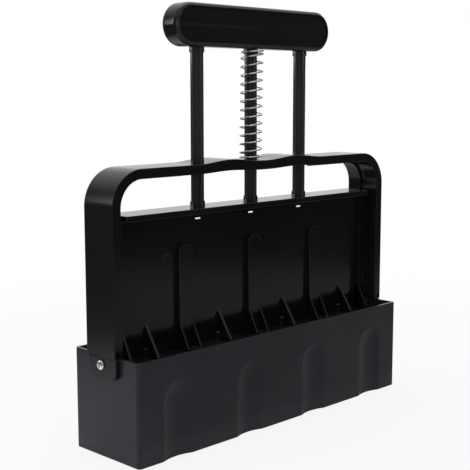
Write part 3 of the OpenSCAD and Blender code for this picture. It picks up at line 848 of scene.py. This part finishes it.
for number, side in enumerate((-1, 1)):
    name = ("left", "right")[number]

    def turned(part, side=side):
        return [(side * (z + sideScrew["seat"]), y, hoop["screwZ"] + x) for x, y, z in part[0]], part[1]

    screw = addPiece("sideScrew_" + name, *turned(screwHead()))
    c, t = sideScrew["cross"], sideScrew["slot"]
    star = rounded([(c, -t), (c, t), (t, t), (t, c), (-t, c), (-t, t),
                    (-c, t), (-c, -t), (-t, -t), (-t, -c), (t, -c),
                    (t, -t)], 0.12, 2)
    starRows = [(0.1, sideScrew["height"] - sideScrew["deep"]), (0, sideScrew["height"] + 0.5)]
    carve(screw, turned(loft([star], starRows)))
    print("side screw", name, len(screw.data.polygons), "faces")
    dress(screw, "screw", "mould", ["side_screw_" + name], 35)
    hexagon = [(3.17 * math.cos(math.radians(60 * k + 30)), 3.17 * math.sin(math.radians(60 * k + 30)))
               for k in range(6)]
    bore = [(1.52 * math.cos(math.radians(10 * k)), 1.52 * math.sin(math.radians(10 * k))) for k in range(36)]
    nutPart = moved(slab([hexagon, bore], 0, 1.8, 0.2), (0, 0, 111.35 - sideScrew["seat"]))
    nut = addPiece("sideNut_" + name, *turned(nutPart))
    dress(nut, "screw", "mould", ["side_nut_" + name], 35)
for node in ("handle_screws",):
    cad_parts[node].data.materials.clear()
    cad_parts[node].data.materials.append(finishes["screw"])
print("screws and nuts made")


# camera, floor and light

camera = {
    "place": (-0.452, -0.43361, 0.20132), "azimuth": 45.3206, "drop": 7.9753, "roll": 0.04337, "lens": 78.1841,
}


def addCamera(c=camera):
    data = bpy.data.cameras.new("camera")
    data.lens = c["lens"]
    data.sensor_width = 36
    data.clip_start, data.clip_end = 0.01, 20
    made = bpy.data.objects.new("camera", data)
    bpy.context.scene.collection.objects.link(made)
    made.location = c["place"]
    made.rotation_mode = "XYZ"
    made.rotation_euler = (math.radians(90 - c["drop"]), math.radians(c["roll"]), math.radians(-c["azimuth"]))
    bpy.context.scene.camera = made


studio = {
    "floor": 0.8, "floorSize": 2.4, "glow": 0.86, "near": 0.44, "far": 0.66, "shineFar": 0.12, "shineRight": 0.46,
    "leftPull": 0.72, "cameraShine": 0.9,
    "lamps": {
        "sideSoftbox": {"place": (-0.95, 0.9, 0.5), "aim": (0, 0, 0.12), "size": (0.16, 0.5), "power": 1.2},
        "topSoftbox": {"place": (0.1, 0.1, 1.1), "aim": (0, 0, 0.1), "size": (0.9, 0.9), "power": 4},
    },
}


def addLamp(name, look):
    data = bpy.data.lights.new(name, "AREA")
    data.shape = "RECTANGLE"
    data.size, data.size_y = look["size"]
    data.energy = look["power"]
    lamp = bpy.data.objects.new(name, data)
    bpy.context.scene.collection.objects.link(lamp)
    lamp.location = look["place"]
    way = Vector(look["aim"]) - Vector(look["place"])
    lamp.rotation_mode = "QUATERNION"
    lamp.rotation_quaternion = way.to_track_quat("-Z", "Y")
    return lamp


def addFloor(s=studio):
    half = s["floorSize"] / 2
    mesh = bpy.data.meshes.new("floor")
    low = -0.0002
    mesh.from_pydata([(-half, -half, low), (half, -half, low), (half, half, low), (-half, half, low)],
                     [], [(0, 1, 2, 3)])
    floor = bpy.data.objects.new("floor", mesh)
    bpy.context.scene.collection.objects.link(floor)
    finish = Finish("paleFloor")
    seen = finish.node("ShaderNodeLightPath", {}, {}, "Is Camera Ray")
    glossy = finish.node("ShaderNodeLightPath", {}, {}, "Is Glossy Ray")
    spot = finish.node("ShaderNodeTexCoord", {}, {}, "Object")
    away = finish.node("ShaderNodeVectorMath", {"operation": "LENGTH"}, {0: spot}, 1)
    # what shines back in gloss: a bright table under the object, with a painted shadow of the object at the right
    # front, dark further out
    side = finish.node("ShaderNodeVectorMath", {"operation": "DOT_PRODUCT"}, {0: spot, 1: (0.7, -0.7, 0)}, 1)
    shine = 1 - finish.between(side, -0.12, 0.2) * (1 - s["shineRight"])
    spread = away * (1 + (1 - finish.between(side, -0.12, 0.2)) * s["leftPull"])
    shine = shine * (1 - finish.between(spread, s["near"], s["far"]) * (1 - s["shineFar"]))
    # a painted light on the floor at the front left, seen only in gloss, standing for a light at the camera that
    # draws thin bright lines along the edges
    front = finish.node("ShaderNodeVectorMath", {"operation": "DOT_PRODUCT"}, {0: spot, 1: (-0.7, -0.7, 0)}, 1)
    sideways = finish.node("ShaderNodeMath", {"operation": "ABSOLUTE"}, {0: side})
    lit = finish.between(front, 0.3, 0.45) * (1 - finish.between(sideways, 0.12, 0.3)) * s["cameraShine"]
    shine = finish.node("ShaderNodeMath", {"operation": "MAXIMUM"}, {0: shine, 1: lit})
    level = s["floor"] * (1 - glossy * (1 - shine))
    matte = finish.node("ShaderNodeBsdfDiffuse", {}, {"Color": level})
    white = finish.node("ShaderNodeEmission", {}, {"Color": (1, 1, 1), "Strength": 1.0})
    glow = s["glow"] + (1 - s["glow"]) * finish.between(away, 0.25, 0.6)
    surface = finish.node("ShaderNodeMixShader", {}, {0: seen * glow, 1: matte, 2: white})
    finish.node("ShaderNodeOutputMaterial", {}, {"Surface": surface})
    mesh.materials.append(finish.material)


def addWorld():
    world = bpy.data.worlds.new("studio")
    bpy.context.scene.world = world
    finish = Finish("studio", world)
    seen = finish.node("ShaderNodeLightPath", {}, {}, "Is Camera Ray")
    glossy = finish.node("ShaderNodeLightPath", {}, {}, "Is Glossy Ray")
    way = finish.node("ShaderNodeTexCoord", {}, {}, "Generated")

    def towards(x, y, z):
        return finish.node("ShaderNodeVectorMath", {"operation": "DOT_PRODUCT"}, {0: way, 1: (x, y, z)}, 1)

    # soft light: more from the left and from above
    soft = 0.35 + finish.between(towards(-0.8, 0.2, 0.55), -0.3, 0.9) * 0.6
    # what shines back: the white background behind, a soft light overhead, a bright patch at the front left
    shine = 0.08 + finish.between(towards(0.7, 0.7, 0), 0.25, 0.8) * 0.92
    shine = shine + finish.between(towards(0, 0, 1), 0.3, 0.6) * 0.55
    shine = shine + finish.between(towards(-0.7, -0.7, 0), 0.86, 0.96) * 0.8
    shine = finish.node("ShaderNodeMath", {"operation": "MINIMUM"}, {0: shine, 1: 1.0})
    level = soft * (1 - glossy) + shine * glossy
    strength = level * (1 - seen) + seen
    glow = finish.node("ShaderNodeBackground", {}, {"Color": (1, 1, 1), "Strength": strength})
    finish.node("ShaderNodeOutputWorld", {}, {"Surface": glow})


addCamera()
addFloor()
addWorld()
for name, look in studio["lamps"].items():
    addLamp(name, look)
scene = bpy.context.scene
scene.view_settings.view_transform = "Standard"
print("studio made")
